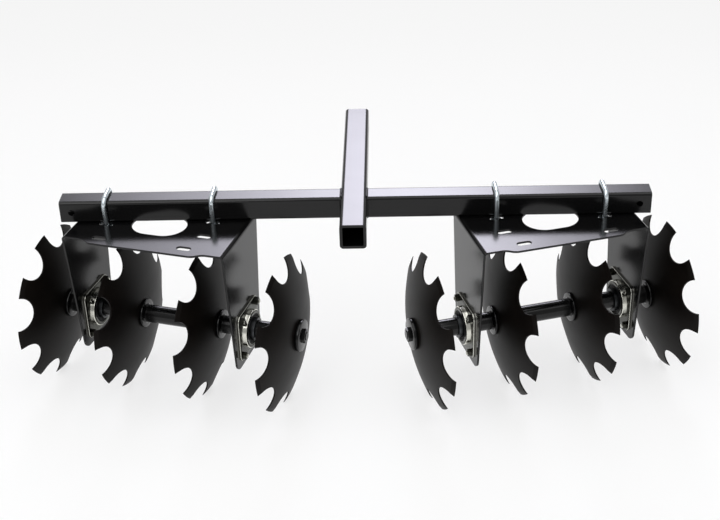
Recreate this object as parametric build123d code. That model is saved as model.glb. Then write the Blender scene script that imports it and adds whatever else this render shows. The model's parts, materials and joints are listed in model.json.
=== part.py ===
"""Two-gang disc harrow for a small off-road vehicle, in millimetres.

A square toolbar lies across the machine. A slightly larger square tongue crosses its middle and
goes forward to the towing lift. Two inverted-U brackets hang under the toolbar on U-bolts, and each
carries a gang: four notched, dished discs on a square axle that turns in two flange bearings.
The outer end of each gang points forward, so the discs throw the soil outwards.

+X is to the right of someone who stands behind the harrow, +Y is forward, +Z is up.
"""
from build123d import *
import os
from math import cos, radians, sin, sqrt

os.makedirs("parts", exist_ok=True)

# ------------------------------------------------------------------ toolbar and tongue
tube_size = 50.8
tube_wall = 4.8
tube_inside_corner = 2.2
toolbar_overhang = 101.9
toolbar_hole_diameter = 14.3
toolbar_hole_inset = 25.4
tongue_size = 57.15
tongue_wall = 6.35
tongue_inside_corner = 1.65
tongue_behind = 152.0
tongue_ahead = 440.0
hitch_hole_diameter = 16.4
hitch_hole_inset = 64.0

# ------------------------------------------------------------------ gang layout
gang_angle = 15.85
inner_disc_offset = 129.4
gang_centre_y = -46.6
disc_spacing = 187.0
disc_headroom = 27.0

# ------------------------------------------------------------------ axle, spools and end nuts
axle_size = 25.4
axle_corner = 1.5
axle_fit = 0.15
axle_thread_diameter = 19.05
axle_thread_spare = 1.5
axle_nut_across_flats = 28.6
axle_nut_height = 8.0
thread_fit = 0.05
spool_bore_fit = 0.26
spool_wall = 2.9
spool_flange_width = 12.5
spool_flange_thickness = 6.0
end_washer_thickness = 9.5
end_washer_overhang = 3.0
# Length of the spool that starts at the back of the disc outside each bearing.
spool_lengths = {"outer": 59.7, "inner": 58.9}

# ------------------------------------------------------------------ discs
disc_diameter = 355.6
disc_thickness = 3.2
# How far the rim's back edge stands out from the back of the flat hub.
disc_dish = 36.4
disc_hub_margin = 7.0
disc_bevel = 9.0
disc_edge = 1.2
tooth_count = 9
tooth_half_angle = 7.75

# Quarter turns of each disc on the square axle, from the outer disc to the inner one, and how far
# the gang is turned at rest, in degrees from a tooth pointing up, towards the rear.
gangs = {
    "left": {"rest_turn": 10.5, "quarter_turns": (0, 3, 0, 1)},
    "right": {"rest_turn": 4.0, "quarter_turns": (0, 3, 2, 2)},
}

# ------------------------------------------------------------------ bearings
race_wall = 8.66
race_width = 30.0
race_setback = 5.0
running_fit = 0.05
insert_ring = 12.0
insert_width = 15.0
housing_wall = 6.0
housing_face = 1.0
housing_lip = 3.0
flange_thickness = 4.5
flange_corner = 15.0
flange_edge = 13.0
bearing_bolt_diameter = 9.5
bearing_bolt_fit = 0.4
bearing_bolt_clearance = 10.5
bearing_head_diameter = 21.0
bearing_head_height = 4.5
bearing_nut_across_flats = 15.9
bearing_nut_height = 8.5
bearing_bolt_spare = 3.0

# ------------------------------------------------------------------ brackets
plate_thickness = 4.8
bend_inside_radius = 4.2
plate_bore_clearance = 5.0
bracket_end_half_depth = 100.0
bracket_mid_half_depth = 113.0
bracket_mid_half_length = 112.0
bracket_swell_run = 38.0
bracket_foot_side_margin = 14.0
bracket_foot_end_margin = 17.0
bracket_foot_radius = 22.0
window_length = 124.0
window_width = 92.0
slot_length = 32.0
slot_clearance = 1.45
# Spare adjusting slots, from the bracket's middle: x outwards and y forwards.
spare_slots = ((-93.0, -85.0), (104.0, -88.0), (-115.0, -25.0), (104.0, 85.0))

# ------------------------------------------------------------------ U-bolts
u_bolt_rod = 11.1
u_bolt_gap = 0.25
u_bolt_offset = 118.0
# The U-bolts stand a little askew on the toolbar, turned towards the bracket.
u_bolt_skew = 2.5
u_bolt_bend_relief = 0.5
u_bolt_tail = 30.0
washer_diameter = 25.4
washer_thickness = 2.0
u_bolt_nut_across_flats = 17.5
u_bolt_nut_height = 9.5

# ------------------------------------------------------------------ derived sizes
disc_radius = disc_diameter / 2
tube_half = tube_size / 2
tube_corner = tube_inside_corner + tube_wall
tongue_half = tongue_size / 2
hub_half = disc_thickness / 2
axle_across_corners = axle_size * sqrt(2) - 2 * axle_corner * (sqrt(2) - 1)
spool_bore = axle_across_corners + 2 * spool_bore_fit
spool_diameter = spool_bore + 2 * spool_wall
spool_flange_diameter = spool_diameter + 2 * spool_flange_width
end_washer_diameter = spool_flange_diameter + 2 * end_washer_overhang
disc_hub_radius = spool_flange_diameter / 2 + disc_hub_margin
race_diameter = axle_across_corners + 2 * race_wall
insert_diameter = race_diameter + 2 * insert_ring
housing_diameter = insert_diameter + 2 * housing_wall
housing_height = insert_width + housing_face
bearing_nut_across_corners = bearing_nut_across_flats / cos(radians(30))
bearing_bolt_circle = housing_diameter / 2 + bearing_nut_across_corners / 2 + bearing_bolt_clearance
bearing_bolt_spacing = sqrt(2) * bearing_bolt_circle
bearing_bolt_hole = bearing_bolt_diameter + 2 * bearing_bolt_fit
flange_size = bearing_bolt_spacing + 2 * flange_edge
plate_bore = race_diameter + 2 * plate_bore_clearance
bend_radius = bend_inside_radius + plate_thickness
bracket_foot_half_depth = flange_size / 2 + bracket_foot_side_margin
bracket_foot_drop = flange_size / 2 + bracket_foot_end_margin
slot_width = u_bolt_rod + 2 * slot_clearance
# The discs under the bracket clear the ends of the U-bolts.
gang_drop = tube_half + plate_thickness + u_bolt_tail + disc_headroom + disc_radius
plate_top = gang_drop - tube_half
disc_positions = [disc_spacing * (1.5 - index) for index in range(4)]
gang_centre_x = inner_disc_offset + disc_positions[0] * cos(radians(gang_angle))
# The bearings stand on the face of each side plate that looks to the middle of the machine. Each
# seat is a spool's length inside the back of the disc that is outside it.
bearing_seats = {
    "outer": disc_positions[0] - hub_half - spool_lengths["outer"] - race_setback,
    "inner": disc_positions[2] - hub_half - spool_lengths["inner"] - race_setback,
}
bracket_outer_face = bearing_seats["outer"] + plate_thickness
bracket_inner_face = bearing_seats["inner"]
bracket_middle = (bracket_outer_face + bracket_inner_face) / 2
bracket_half_length = (bracket_outer_face - bracket_inner_face) / 2
bracket_x = gang_centre_x + bracket_middle * cos(radians(gang_angle))
toolbar_half_length = bracket_x + u_bolt_offset + toolbar_overhang
leg_reach = (tube_half + u_bolt_rod / 2 + u_bolt_gap) / cos(radians(u_bolt_skew))


def bar_along_x(section, start, end):
    """A flat section, drawn in X and Y, as a bar along X from start to end."""
    return extrude(Plane.YZ.offset(start) * section, end - start)


def drill_along_x(radius, start, end, y=0.0, z=0.0):
    """A round pin along X, used as a drill or as a rod."""
    return bar_along_x(Pos(y, z) * Circle(radius), start, end)


def hexagon(across_flats):
    """A hexagon with the given size across its flats."""
    return RegularPolygon(across_flats / 2, 6, major_radius=False)


def square_bar_section(size, corner):
    """A square with rounded corners."""
    return RectangleRounded(size, size, corner)


def square_tube(size, wall, inside_corner, length):
    """A length of square tube along Z, from Z 0 up."""
    hollow = size - 2 * wall
    outside = RectangleRounded(size, size, inside_corner + wall)
    return extrude(outside - RectangleRounded(hollow, hollow, inside_corner), length)


# ------------------------------------------------------------------ frame
def make_toolbar_half():
    """The right half of the toolbar, from the tongue's side out to its open end."""
    tube = square_tube(tube_size, tube_wall, tube_inside_corner, toolbar_half_length - tongue_half)
    tube = Pos(tongue_half, 0, 0) * Rot(0, 90, 0) * tube
    hole = Pos(toolbar_half_length - toolbar_hole_inset, 0, 0)
    return tube - hole * Rot(90, 0, 0) * Cylinder(toolbar_hole_diameter / 2, 2 * tube_size)


def make_tongue():
    """The tongue, across the toolbar, with the hitch pin's hole through its front end."""
    tube = square_tube(tongue_size, tongue_wall, tongue_inside_corner, tongue_behind + tongue_ahead)
    tube = Pos(0, -tongue_behind, 0) * Rot(-90, 0, 0) * tube
    hole = Pos(0, tongue_ahead - hitch_hole_inset, 0)
    return tube - hole * Rot(0, 90, 0) * Cylinder(hitch_hole_diameter / 2, 2 * tongue_size)


def u_bolt_places():
    """Where each U-bolt stands on the toolbar: its name, and its x outwards from the bracket."""
    return (("outer", u_bolt_offset), ("inner", -u_bolt_offset))


def leg_positions():
    """Where the U-bolt legs cross a bracket: (x, y) in the gang's frame."""
    turn = radians(gang_angle)
    skew = radians(u_bolt_skew)
    legs = []
    for _, offset in u_bolt_places():
        for end in (1, -1):
            across = bracket_x + offset - end * leg_reach * sin(skew) - gang_centre_x
            along = end * leg_reach * cos(skew) - gang_centre_y
            legs.append((across * cos(turn) + along * sin(turn), along * cos(turn) - across * sin(turn)))
    return legs


def bracket_plan():
    """The bracket's outline from above: its long edges swell between the bends."""
    swell_end = bracket_mid_half_length + bracket_swell_run
    swell_mid = (bracket_mid_half_length + bracket_swell_run / 2,
                 (bracket_mid_half_depth + bracket_end_half_depth) / 2)
    quarter = Line((0, bracket_mid_half_depth), (bracket_mid_half_length, bracket_mid_half_depth))
    quarter += TangentArc((bracket_mid_half_length, bracket_mid_half_depth), swell_mid, tangent=(1, 0))
    quarter += TangentArc((swell_end, bracket_end_half_depth), swell_mid, tangent=(-1, 0))
    quarter += Line((swell_end, bracket_end_half_depth), (bracket_half_length + 1, bracket_end_half_depth))
    quarter += Line((bracket_half_length + 1, bracket_end_half_depth), (bracket_half_length + 1, 0))
    half = quarter + mirror(quarter, about=Plane.YZ)
    return Pos(bracket_middle, 0) * make_face(half + mirror(half, about=Plane.XZ))


def bracket_side_view():
    """The bracket's outline from the side: side plates that narrow to rounded feet."""
    bend_z = plate_top - bend_radius
    wide = bracket_mid_half_depth + 1
    narrow = bracket_foot_half_depth
    outline = Polygon((-wide, plate_top + 1), (-wide, bend_z), (-bracket_end_half_depth, bend_z),
                      (-narrow, -bracket_foot_drop), (narrow, -bracket_foot_drop),
                      (bracket_end_half_depth, bend_z), (wide, bend_z), (wide, plate_top + 1), align=None)
    feet = outline.vertices().group_by(Axis.Y)[0]
    return fillet(feet, bracket_foot_radius)


def bracket_section():
    """The bent plate's section along the gang: an inverted U with round bends."""
    height = plate_top + bracket_foot_drop
    middle_z = (plate_top - bracket_foot_drop) / 2
    outside = Pos(bracket_middle, middle_z) * Rectangle(2 * bracket_half_length, height)
    outside = fillet(outside.vertices().group_by(Axis.Y)[-1], bend_radius)
    hollow = 2 * (bracket_half_length - plate_thickness)
    inside = Pos(bracket_middle, middle_z - plate_thickness) * Rectangle(hollow, height)
    inside = fillet(inside.vertices().group_by(Axis.Y)[-1], bend_radius - plate_thickness)
    return outside - inside


def make_bracket():
    """The bent bracket plate with its window, slots, bearing bores and bolt holes."""
    depth = bracket_mid_half_depth + 2
    plate = extrude(Plane.XZ * bracket_section(), depth, both=True)
    plate &= extrude(Pos(0, 0, -bracket_foot_drop - 1) * bracket_plan(), plate_top + bracket_foot_drop + 2)
    side_view = extrude(Plane.YZ * bracket_side_view(), 2 * disc_spacing, both=True)
    plate &= side_view
    slot = SlotOverall(slot_length, slot_width)
    cuts = Pos(bracket_middle, 0) * SlotOverall(window_length, window_width)
    for x, y in spare_slots:
        cuts += Pos(bracket_middle + x, y) * slot
    for x, y in leg_positions():
        cuts += Pos(x, y) * slot
    plate -= extrude(Pos(0, 0, plate_top - 2 * plate_thickness) * cuts, 3 * plate_thickness)
    bores = Circle(plate_bore / 2)
    for place in GridLocations(bearing_bolt_spacing, bearing_bolt_spacing, 2, 2):
        bores += place * Circle(bearing_bolt_hole / 2)
    plate -= bar_along_x(bores, bracket_inner_face - 1, bracket_outer_face + 1)
    return plate


def make_u_bolt():
    """A square U-bolt over the toolbar, its legs along Z, centred on the toolbar's axis."""
    top = tube_half + u_bolt_rod / 2 + u_bolt_gap
    foot = -tube_half - plate_thickness - u_bolt_tail
    bend = tube_corner - u_bolt_bend_relief + u_bolt_rod / 2
    path = FilletPolyline((0, -leg_reach, foot), (0, -leg_reach, top), (0, leg_reach, top),
                          (0, leg_reach, foot), radius=bend)
    return sweep(Plane(origin=(0, -leg_reach, foot), z_dir=(0, 0, 1)) * Circle(u_bolt_rod / 2), path=path)


def make_u_bolt_nut():
    """A hex nut with its washer, hanging from Z 0."""
    washer = extrude(Circle(washer_diameter / 2), -washer_thickness)
    nut = extrude(Pos(0, 0, -washer_thickness) * hexagon(u_bolt_nut_across_flats), -u_bolt_nut_height)
    return washer + nut - Cylinder(u_bolt_rod / 2 + thread_fit, 4 * u_bolt_nut_height)


# ------------------------------------------------------------------ bearings
def make_bearing_housing():
    """A pressed four-bolt flange with a raised ring, its back on X 0 and the ring towards -X."""
    plate = RectangleRounded(flange_size, flange_size, flange_corner)
    for place in GridLocations(bearing_bolt_spacing, bearing_bolt_spacing, 2, 2):
        plate -= place * Circle(bearing_bolt_hole / 2)
    housing = bar_along_x(plate, -flange_thickness, 0)
    ring = drill_along_x(housing_diameter / 2, -housing_height, 0)
    ring = fillet(ring.faces().sort_by(Axis.X)[0].edges(), housing_lip)
    housing += ring
    housing -= drill_along_x(insert_diameter / 2, -insert_width, 1)
    return housing - drill_along_x(insert_diameter / 2 - housing_lip, -housing_height - 1, 1)


def make_bearing_insert():
    """The bearing's outer ring and seal, behind the housing's lip."""
    ring = drill_along_x(insert_diameter / 2, -insert_width, 0)
    return ring - drill_along_x(race_diameter / 2 + running_fit, -insert_width - 1, 1)


def make_race(seat):
    """The bearing's inner race, which turns with the square axle."""
    start = seat + race_setback - race_width
    race = drill_along_x(race_diameter / 2, start, start + race_width)
    return race - square_passage(start - 1, start + race_width + 1)


def make_bearing_bolts(seat):
    """Four round-headed bolts, heads behind the side plate, ends through the flange."""
    bolts = []
    for place in GridLocations(bearing_bolt_spacing, bearing_bolt_spacing, 2, 2):
        y, z = place.position.X, place.position.Y
        back = seat + plate_thickness
        tip = seat - flange_thickness - bearing_nut_height - bearing_bolt_spare
        shank = drill_along_x(bearing_bolt_diameter / 2, tip, back, y, z)
        head = drill_along_x(bearing_head_diameter / 2, back, back + bearing_head_height, y, z)
        head = fillet(head.faces().sort_by(Axis.X)[-1].edges(), bearing_head_height * 0.8)
        bolts.append(shank + head)
    return bolts


def make_bearing_nuts(seat):
    """The four nuts on a bearing's flange."""
    nuts = []
    outline = hexagon(bearing_nut_across_flats) - Circle(bearing_bolt_diameter / 2 + thread_fit)
    for place in GridLocations(bearing_bolt_spacing, bearing_bolt_spacing, 2, 2):
        start = seat - flange_thickness - bearing_nut_height
        nuts.append(bar_along_x(place * outline, start, start + bearing_nut_height))
    return nuts


# ------------------------------------------------------------------ gang
def square_passage(start, end):
    """The square hole that slides over the axle."""
    size = axle_size + 2 * axle_fit
    return bar_along_x(square_bar_section(size, axle_corner), start, end)


def make_disc():
    """One dished disc about X 0, hollow side towards +X, a tooth up and the square hole level.

    The blade is a cap of a sphere around a flat hub.
    """
    centre_x = (disc_dish ** 2 + disc_radius ** 2 - disc_hub_radius ** 2) / (2 * disc_dish) - hub_half
    back_radius = sqrt((centre_x + hub_half) ** 2 + disc_hub_radius ** 2)
    hollow_radius = back_radius - disc_thickness
    hollow_hub = sqrt(hollow_radius ** 2 - (centre_x - hub_half) ** 2)

    def on_sphere(radius, out):
        """The point at the given distance from the axle on one of the blade's two spheres."""
        return (centre_x - sqrt(radius ** 2 - out ** 2), out)

    middle = (disc_hub_radius + disc_radius) / 2
    back_edge = on_sphere(back_radius, disc_radius - disc_bevel)
    rim = on_sphere(hollow_radius, disc_radius)
    profile = Polyline((hub_half, 0), (-hub_half, 0), (-hub_half, disc_hub_radius))
    profile += ThreePointArc((-hub_half, disc_hub_radius), on_sphere(back_radius, middle), back_edge)
    profile += Polyline(back_edge, (rim[0] - disc_edge, disc_radius), rim)
    profile += ThreePointArc(rim, on_sphere(hollow_radius, middle), (hub_half, hollow_hub))
    profile += Line((hub_half, hollow_hub), (hub_half, 0))
    disc = revolve(make_face(profile), Axis.X)
    notch_half_angle = 180 / tooth_count - tooth_half_angle
    notch_radius = disc_radius * sin(radians(notch_half_angle))
    notch_centre = disc_radius * cos(radians(notch_half_angle))
    notches = Sketch()
    for index in range(tooth_count):
        notches += Rot(0, 0, (index + 0.5) * 360 / tooth_count) * Pos(0, notch_centre) * Circle(notch_radius)
    disc -= bar_along_x(notches, -disc_dish, 2 * disc_dish)
    return disc - square_passage(-disc_dish, disc_dish)


def make_axle():
    """The square axle with its threaded ends, cut to the length of the gang."""
    stack = disc_positions[0] + hub_half + end_washer_thickness
    tip = stack + axle_nut_height + axle_thread_spare
    square_end = stack - end_washer_thickness / 2
    axle = bar_along_x(square_bar_section(axle_size, axle_corner), -square_end, square_end)
    return axle + drill_along_x(axle_thread_diameter / 2, -tip, tip)


def make_spools():
    """The five spools of a gang: tubes, with a flange where an end bears on a disc."""
    faces = []
    for position in disc_positions:
        faces.append((position - hub_half, position + hub_half))
    races = {}
    for name, seat in bearing_seats.items():
        races[name] = (seat + race_setback - race_width, seat + race_setback)
    # Columns: low end, high end, flange on the low end, flange on the high end.
    runs = (
        (races["outer"][1], faces[0][0], False, True),
        (faces[1][1], races["outer"][0], True, False),
        (faces[2][1], faces[1][0], True, True),
        (races["inner"][1], faces[2][0], False, True),
        (faces[3][1], races["inner"][0], True, False),
    )
    spools = []
    for low, high, low_flange, high_flange in runs:
        spool = drill_along_x(spool_diameter / 2, low, high)
        solid_low = low + (spool_flange_thickness if low_flange else 0)
        solid_high = high - (spool_flange_thickness if high_flange else 0)
        if low_flange:
            spool += drill_along_x(spool_flange_diameter / 2, low, solid_low)
        if high_flange:
            spool += drill_along_x(spool_flange_diameter / 2, solid_high, high)
        spool -= drill_along_x(spool_bore / 2, solid_low, solid_high)
        spools.append(spool - square_passage(low - 1, high + 1))
    return spools


def make_end_washers():
    """The thick washers outside the first and the last disc."""
    washers = []
    for side in (1, -1):
        inner = disc_positions[0] + hub_half
        low, high = sorted((side * inner, side * (inner + end_washer_thickness)))
        washer = drill_along_x(end_washer_diameter / 2, low, high)
        washers.append(washer - square_passage(low - 1, high + 1))
    return washers


def make_axle_nuts():
    """The hex nuts that pull the gang together."""
    outline = hexagon(axle_nut_across_flats) - Circle(axle_thread_diameter / 2 + thread_fit)
    nuts = []
    for side in (1, -1):
        inner = disc_positions[0] + hub_half + end_washer_thickness
        low, high = sorted((side * inner, side * (inner + axle_nut_height)))
        nuts.append(bar_along_x(outline, low, high))
    return nuts


# ------------------------------------------------------------------ assembly
def on_side(side, shapes):
    """Shapes of the right side, mirrored if the side is left."""
    return [mirror(shape, about=Plane.YZ) if side == "left" else shape for shape in shapes]


def at_gang(side, shapes, turn=0.0):
    """Shapes drawn about a gang's centre, turned on its axle and put in their place."""
    place = Pos(gang_centre_x, gang_centre_y, -gang_drop) * Rot(0, 0, gang_angle) * Rot(turn, 0, 0)
    return on_side(side, [place * shape for shape in shapes])


def build_nodes():
    """Every node of the harrow, by name, with the origin at the toolbar's middle."""
    nodes = {"tongue": [make_tongue()]}
    bracket = make_bracket()
    disc = make_disc()
    toolbar_half = make_toolbar_half()
    u_bolt = make_u_bolt()
    nut = make_u_bolt_nut()
    housing = make_bearing_housing()
    insert = make_bearing_insert()
    for side, gang in gangs.items():
        rest_turn = gang["rest_turn"]
        nodes[f"toolbar_{side}"] = on_side(side, [toolbar_half])
        nodes[f"bracket_{side}"] = at_gang(side, [bracket])
        nuts = []
        for name, offset in u_bolt_places():
            place = Pos(bracket_x + offset, 0, 0) * Rot(0, 0, u_bolt_skew)
            nodes[f"u_bolt_{side}_{name}"] = on_side(side, [place * u_bolt])
            for end in (1, -1):
                nuts.append(place * Pos(0, end * leg_reach, -tube_half - plate_thickness) * nut)
        nodes[f"u_bolt_nuts_{side}"] = on_side(side, nuts)
        bolts = []
        bolt_nuts = []
        for name, seat in bearing_seats.items():
            nodes[f"bearing_housing_{side}_{name}"] = at_gang(side, [Pos(seat, 0, 0) * housing])
            nodes[f"bearing_insert_{side}_{name}"] = at_gang(side, [Pos(seat, 0, 0) * insert])
            bolts += make_bearing_bolts(seat)
            bolt_nuts += make_bearing_nuts(seat)
        nodes[f"bearing_bolts_{side}"] = at_gang(side, bolts)
        nodes[f"bearing_nuts_{side}"] = at_gang(side, bolt_nuts)
        nodes[f"axle_{side}"] = at_gang(side, [make_axle()], rest_turn)
        races = [make_race(seat) for seat in bearing_seats.values()]
        nodes[f"bearing_races_{side}"] = at_gang(side, races, rest_turn)
        nodes[f"spools_{side}"] = at_gang(side, make_spools(), rest_turn)
        nodes[f"end_washers_{side}"] = at_gang(side, make_end_washers(), rest_turn)
        nodes[f"axle_nuts_{side}"] = at_gang(side, make_axle_nuts(), rest_turn)
        for index, quarter in enumerate(gang["quarter_turns"]):
            blade = Pos(disc_positions[index], 0, 0) * Rot(90 * quarter, 0, 0) * disc
            nodes[f"disc_{side}_{index + 1}"] = at_gang(side, [blade], rest_turn)
    return nodes


nodes = build_nodes()
whole = Compound([shape for shapes in nodes.values() for shape in shapes]).bounding_box()
# The origin goes to the middle of the outline, at floor level.
origin = Vector((whole.min.X + whole.max.X) / 2, (whole.min.Y + whole.max.Y) / 2, whole.min.Z)
for name, shapes in nodes.items():
    placed = [Pos(*(-origin)) * shape for shape in shapes]
    node = placed[0] if len(placed) == 1 else Compound(placed)
    export_step(node, f"parts/{name}.step")
print("toolbar middle at", tuple(-origin), "overall", tuple(whole.size))
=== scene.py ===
"""Looks of a two-gang disc harrow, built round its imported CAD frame.

The tubes, discs, axles, races and U-bolt rods come from the frame as they are. The brackets are
the frame's own, with their cut edges rounded. The small hardware is modelled here: bearing
flanges, seals, nuts, bolts, washers, spools, threads and weld beads. Sizes are in millimetres in
the dataclasses and in metres once they reach Blender. Every place along a gang is read from the
frame, so it follows the model.
"""
import json
import logging
from dataclasses import dataclass, field
from enum import Enum
from math import cos, pi, radians, sin, sqrt

import bpy
from bpy.types import Material, Node, NodeSocket, NodeTree, Object
from mathutils import Matrix, Vector


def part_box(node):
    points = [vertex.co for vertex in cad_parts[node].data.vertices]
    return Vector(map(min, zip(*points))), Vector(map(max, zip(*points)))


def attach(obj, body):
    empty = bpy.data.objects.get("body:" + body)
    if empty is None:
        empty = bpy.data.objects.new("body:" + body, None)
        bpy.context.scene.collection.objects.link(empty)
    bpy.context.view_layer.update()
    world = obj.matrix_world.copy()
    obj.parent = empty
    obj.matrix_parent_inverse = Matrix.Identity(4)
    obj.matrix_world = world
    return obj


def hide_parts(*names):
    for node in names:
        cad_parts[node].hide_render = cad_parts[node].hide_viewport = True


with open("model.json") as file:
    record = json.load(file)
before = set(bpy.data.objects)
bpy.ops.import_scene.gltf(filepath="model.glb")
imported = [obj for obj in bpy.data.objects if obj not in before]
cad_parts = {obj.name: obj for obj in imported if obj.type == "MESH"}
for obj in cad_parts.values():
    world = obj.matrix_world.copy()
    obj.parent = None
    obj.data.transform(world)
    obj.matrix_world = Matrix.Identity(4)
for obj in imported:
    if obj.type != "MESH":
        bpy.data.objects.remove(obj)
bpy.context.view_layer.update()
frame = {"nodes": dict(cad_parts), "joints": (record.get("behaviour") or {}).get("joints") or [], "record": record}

MM = 0.001
MERGE_DISTANCE = 1e-6
ARC_STEPS = 6
PLAY = 0.05
Outline = list[tuple[float, float]]
log = logging.getLogger("harrow")


# -------------------- small tools
class Side(Enum):
    """The two sides of the harrow, as seen by someone who stands behind it."""

    LEFT = "left"
    RIGHT = "right"

    @property
    def outwards(self) -> int:
        """Which way this side lies along X: -1 or 1."""
        return 1 if self is Side.RIGHT else -1


def linear(hex_colour: str) -> tuple[float, float, float, float]:
    """Turn an sRGB hex colour into linear RGBA.

    Args:
        hex_colour: Six hex digits, without a hash.

    Returns:
        The linear red, green and blue, with an alpha of 1.
    """
    levels = [int(hex_colour[i:i + 2], 16) / 255 for i in (0, 2, 4)]
    red, green, blue = (v / 12.92 if v <= 0.04045 else ((v + 0.055) / 1.055) ** 2.4
                        for v in levels)
    return red, green, blue, 1.0


def add_node(tree: NodeTree, kind: str, settings: dict | None = None,
             links: dict | None = None) -> Node:
    """Add a shader node with its settings and its incoming links.

    Args:
        tree: The node tree that gets the node.
        kind: The node's Blender type name.
        settings: Attributes of the node, or default values of its inputs, by name or number.
        links: Output sockets that feed the node's inputs, by the input's name or number.

    Returns:
        The new node.
    """
    node = tree.nodes.new(kind)
    for name, value in (settings or {}).items():
        if isinstance(name, str) and hasattr(node, name):
            setattr(node, name, value)
        else:
            node.inputs[name].default_value = value
    for name, socket in (links or {}).items():
        tree.links.new(socket, node.inputs[name])
    return node


def start_fresh() -> None:
    """Leave edit mode and deselect everything, so an operator acts only on what comes next."""
    if bpy.context.object and bpy.context.object.mode != "OBJECT":
        bpy.ops.object.mode_set(mode="OBJECT")
    bpy.ops.object.select_all(action="DESELECT")


def finish_mesh(piece: Object, name: str, smooth_angle: float = 35.0) -> Object:
    """Merge doubles, turn normals outwards and smooth a piece that is in object mode.

    Args:
        piece: The mesh object.
        name: The piece's name.
        smooth_angle: Edges flatter than this many degrees are shaded smooth.

    Returns:
        The same object.
    """
    start_fresh()
    piece.name = piece.data.name = name
    piece.select_set(True)
    bpy.context.view_layer.objects.active = piece
    bpy.ops.object.mode_set(mode="EDIT")
    bpy.ops.mesh.select_all(action="SELECT")
    bpy.ops.mesh.remove_doubles(threshold=MERGE_DISTANCE)
    bpy.ops.mesh.normals_make_consistent(inside=False)
    bpy.ops.object.mode_set(mode="OBJECT")
    bpy.ops.object.shade_smooth_by_angle(angle=radians(smooth_angle))
    return piece


def spin_profile(name: str, profile: Outline, steps: int = 64) -> Object:
    """Draw a closed outline vertex by vertex and spin it about X into a turned piece.

    Args:
        name: The piece's name.
        profile: (x, radius) points in millimetres, in order round the outline.
        steps: How many faces go round.

    Returns:
        The turned piece, about the X axis.
    """
    start_fresh()
    first_x, first_radius = profile[0]
    start = Vector((first_x, 0, first_radius)) * MM
    bpy.ops.mesh.primitive_plane_add(size=MM, location=start)
    piece = bpy.context.object
    bpy.ops.object.transform_apply(location=True, rotation=True, scale=True)
    bpy.ops.object.mode_set(mode="EDIT")
    bpy.ops.mesh.select_mode(type="VERT")
    bpy.ops.mesh.select_all(action="SELECT")
    bpy.ops.mesh.merge(type="CENTER")
    place = start
    for x, radius in profile[1:] + profile[:1]:
        target = Vector((x, 0, radius)) * MM
        move = {"value": tuple(target - place)}
        bpy.ops.mesh.extrude_vertices_move(TRANSFORM_OT_translate=move)
        place = target
    bpy.ops.mesh.select_all(action="SELECT")
    bpy.ops.mesh.remove_doubles(threshold=MERGE_DISTANCE)
    bpy.ops.mesh.select_all(action="SELECT")
    bpy.ops.mesh.spin(steps=steps, angle=2 * pi, center=(0, 0, 0), axis=(1, 0, 0))
    bpy.ops.object.mode_set(mode="OBJECT")
    return finish_mesh(piece, name)


def quarter_arc() -> Outline:
    """The sine and cosine at each step of a quarter turn, after its start and up to its end."""
    turns = [step * pi / (2 * ARC_STEPS) for step in range(1, ARC_STEPS + 1)]
    return [(sin(turn), cos(turn)) for turn in turns]


def rounded_rim(low: float, high: float, radius: float, edge: float) -> Outline:
    """The rim of a round plate from low to high along X, with edges rounded by this radius."""
    corner = edge * 0.3  # how far inside the corner an arc's middle lies
    return [(low, radius - edge), (low + corner, radius - corner), (low + edge, radius),
            (high - edge, radius), (high - corner, radius - corner), (high, radius - edge)]


def apply_modifier(piece: Object, kind: str, settings: dict) -> None:
    """Add a modifier to a piece and apply it.

    Args:
        piece: The mesh object.
        kind: The modifier's Blender type name.
        settings: The modifier's attributes by name.
    """
    start_fresh()
    piece.select_set(True)
    bpy.context.view_layer.objects.active = piece
    modifier = piece.modifiers.new(kind.lower(), kind)
    for name, value in settings.items():
        setattr(modifier, name, value)
    bpy.ops.object.modifier_apply(modifier=modifier.name)


def cut(piece: Object, tool: Object, operation: str) -> Object:
    """Combine a piece with a tool, and remove the tool.

    Args:
        piece: The mesh object that stays.
        tool: The closed mesh object that is used up.
        operation: INTERSECT, DIFFERENCE or UNION.

    Returns:
        The piece.
    """
    apply_modifier(piece, "BOOLEAN", {"operation": operation, "object": tool, "solver": "EXACT"})
    bpy.data.objects.remove(tool)
    return piece


def joined(parts: list[Object], name: str) -> Object:
    """Join several closed meshes into one piece.

    Args:
        parts: The mesh objects to join.
        name: The joined piece's name.

    Returns:
        The joined piece.
    """
    start_fresh()
    for part in parts:
        part.select_set(True)
    bpy.context.view_layer.objects.active = parts[0]
    bpy.ops.object.join()
    parts[0].name = parts[0].data.name = name
    return parts[0]


def placed_copy(pattern: Object, name: str, place: Matrix) -> Object:
    """Copy a piece with its own mesh, with the copy's place in its mesh.

    Args:
        pattern: The piece that is copied.
        name: The copy's name.
        place: Where the copy goes.

    Returns:
        The copy, at the origin as an object.
    """
    copy = pattern.copy()
    copy.data = pattern.data.copy()
    copy.name = copy.data.name = name
    bpy.context.scene.collection.objects.link(copy)
    copy.data.transform(place)
    return copy


def remove_all(patterns: tuple[Object, ...]) -> None:
    """Remove the patterns that copies were made of."""
    for pattern in patterns:
        bpy.data.objects.remove(pattern)


def shift(x: float = 0.0, y: float = 0.0, z: float = 0.0) -> Matrix:
    """A move without a turn, given in millimetres, as a matrix in metres."""
    return Matrix.Translation((x * MM, y * MM, z * MM))


def settle(piece: Object, body: str, finish: Material,
           replaces: tuple[str, ...] = ()) -> None:
    """Give a piece its finish, its body and the CAD nodes it stands for.

    Args:
        piece: The finished piece.
        body: The CAD body it rides on.
        finish: The material that it gets where it has none yet.
        replaces: The CAD nodes that it hides.
    """
    if not piece.data.materials:
        piece.data.materials.append(finish)
    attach(piece, body)
    if replaces:
        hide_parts(*replaces)
    log.info("%s rides on %s, %d faces", piece.name, body, len(piece.data.polygons))


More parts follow.
